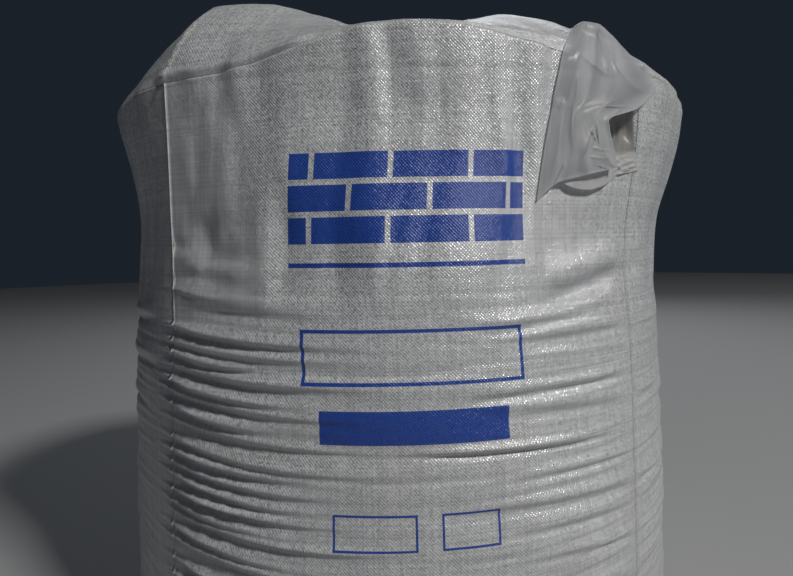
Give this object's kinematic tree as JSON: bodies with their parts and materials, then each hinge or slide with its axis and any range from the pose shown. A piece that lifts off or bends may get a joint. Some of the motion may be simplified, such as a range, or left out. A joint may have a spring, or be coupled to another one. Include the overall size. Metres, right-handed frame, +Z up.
{
  "type": "bulk bag of cement",
  "caption": "Filled woven bulk bag of cement on its flat base: round bulging body, slack corners, folded-over top and the liner film pulled out at one corner.",
  "frame": {"origin": "centre of the base where it meets the ground", "axes": "+Z up; the front of the bag faces -Y; +X is to the right when the front is looked at"},
  "size_m": [1.2812, 1.2472, 1.3278],
  "materials": {
    "woven_cloth": "white laminated woven polypropylene, slightly glossy, with a fine flat-tape weave and soft dust",
    "liner_film": "thin translucent polyethylene film, soft gloss, crumpled",
    "cement": "grey cement powder, packed by its own weight"
  },
  "bodies": {
    "root": {"cement_fill": "cement", "base_panel": "woven_cloth", "front_panel": "woven_cloth", "right_panel": "woven_cloth", "back_panel": "woven_cloth", "left_panel": "woven_cloth", "top_skirt": "woven_cloth", "liner_neck": "liner_film"}
  },
  "joints": []
}
